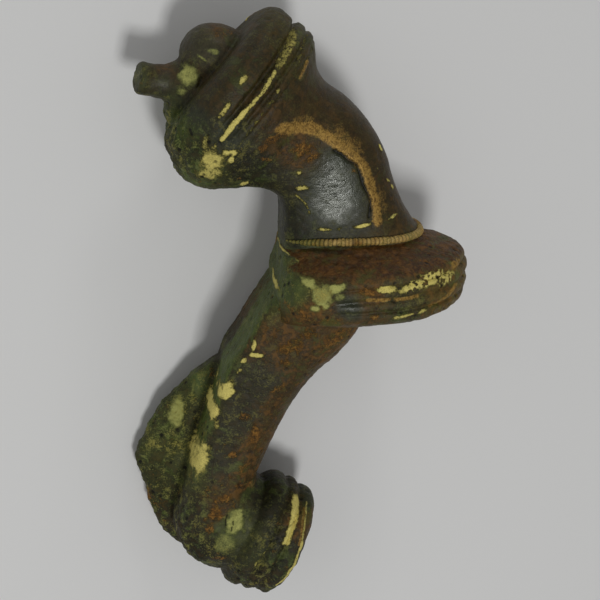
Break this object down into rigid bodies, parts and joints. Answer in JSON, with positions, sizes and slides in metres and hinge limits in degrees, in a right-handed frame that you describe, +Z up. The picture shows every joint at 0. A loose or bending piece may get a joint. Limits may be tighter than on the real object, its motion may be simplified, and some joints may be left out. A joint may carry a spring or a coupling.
{
  "type": "roman fibula brooch",
  "caption": "Cast strongly profiled bow brooch with moulded head, beaded collar, grooved disc, solid catchplate and foot knob; spring and pin lost.",
  "frame": {"origin": "middle of the underside of the bounding box, on the ground that the brooch lies on", "axes": "+Z up, away from the ground; +Y towards the head; +X towards the front of the bow, so the catchplate is on the -X side"},
  "size_m": [0.0322, 0.061, 0.0189],
  "materials": {
    "bronze": "dark brown and green patina with pale and rusty crusts, in part worn smooth and glossy"
  },
  "bodies": {
    "root": {"cast_brooch": "bronze"}
  },
  "joints": []
}
